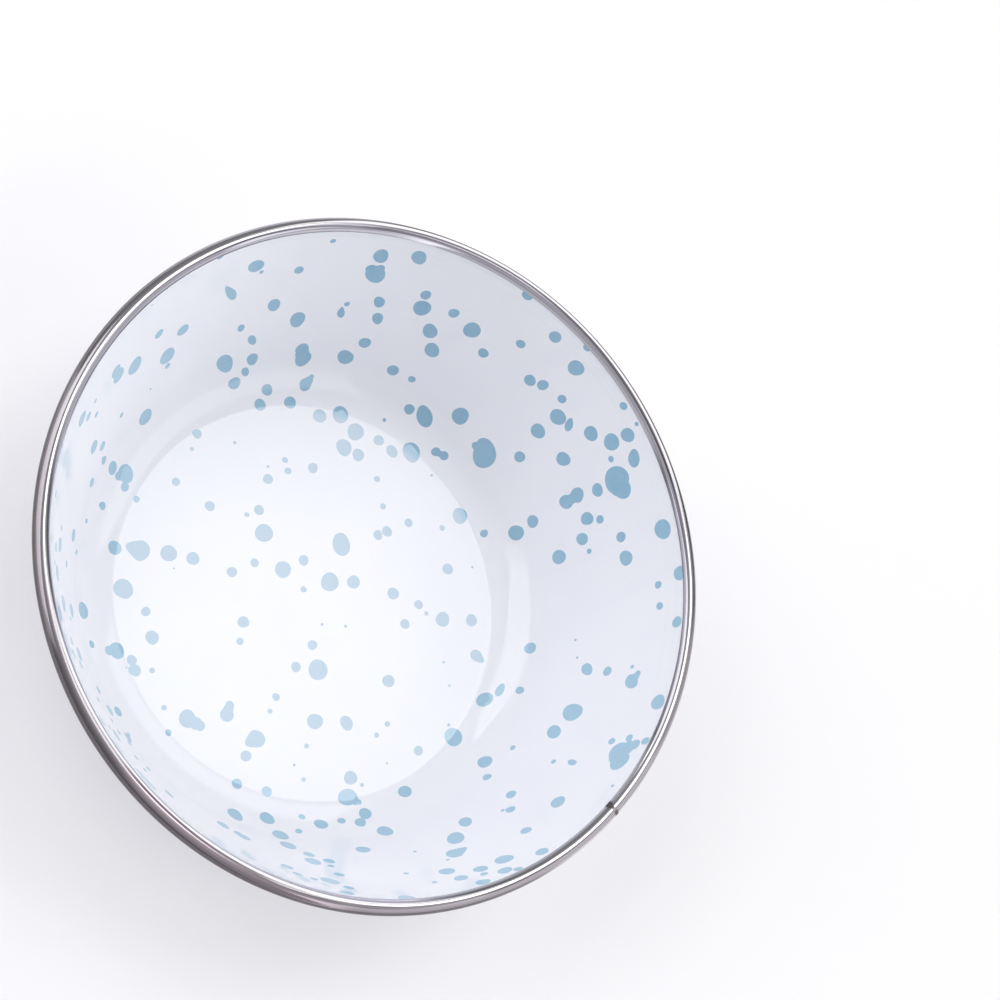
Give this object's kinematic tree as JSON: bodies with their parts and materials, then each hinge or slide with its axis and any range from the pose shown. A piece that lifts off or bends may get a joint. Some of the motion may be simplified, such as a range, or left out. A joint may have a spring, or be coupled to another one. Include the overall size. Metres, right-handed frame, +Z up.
{
  "type": "enamel soup bowl",
  "caption": "Round enamelled steel soup bowl with a flat base, a steep flared wall, white enamel spattered with pale blue drops and a rolled stainless rim band.",
  "frame": {"origin": "centre of the flat base, on the surface that the bowl stands on", "axes": "+Z up along the bowl's axis; the butt seam of the rim band lies 14 degrees from +X towards +Y"},
  "size_m": [0.1524, 0.1524, 0.049],
  "materials": {
    "shell_steel": "pressed low-carbon sheet, hidden under the enamel",
    "inside_enamel": "glossy fired white enamel with pale blue spatter drops",
    "outside_enamel": "glossy fired white enamel with pale blue spatter drops",
    "rim_stainless": "stainless strip, drawn along its length"
  },
  "bodies": {
    "root": {"steel_shell": "shell_steel", "inner_enamel": "inside_enamel", "outer_enamel": "outside_enamel", "rim_band": "rim_stainless"}
  },
  "joints": []
}
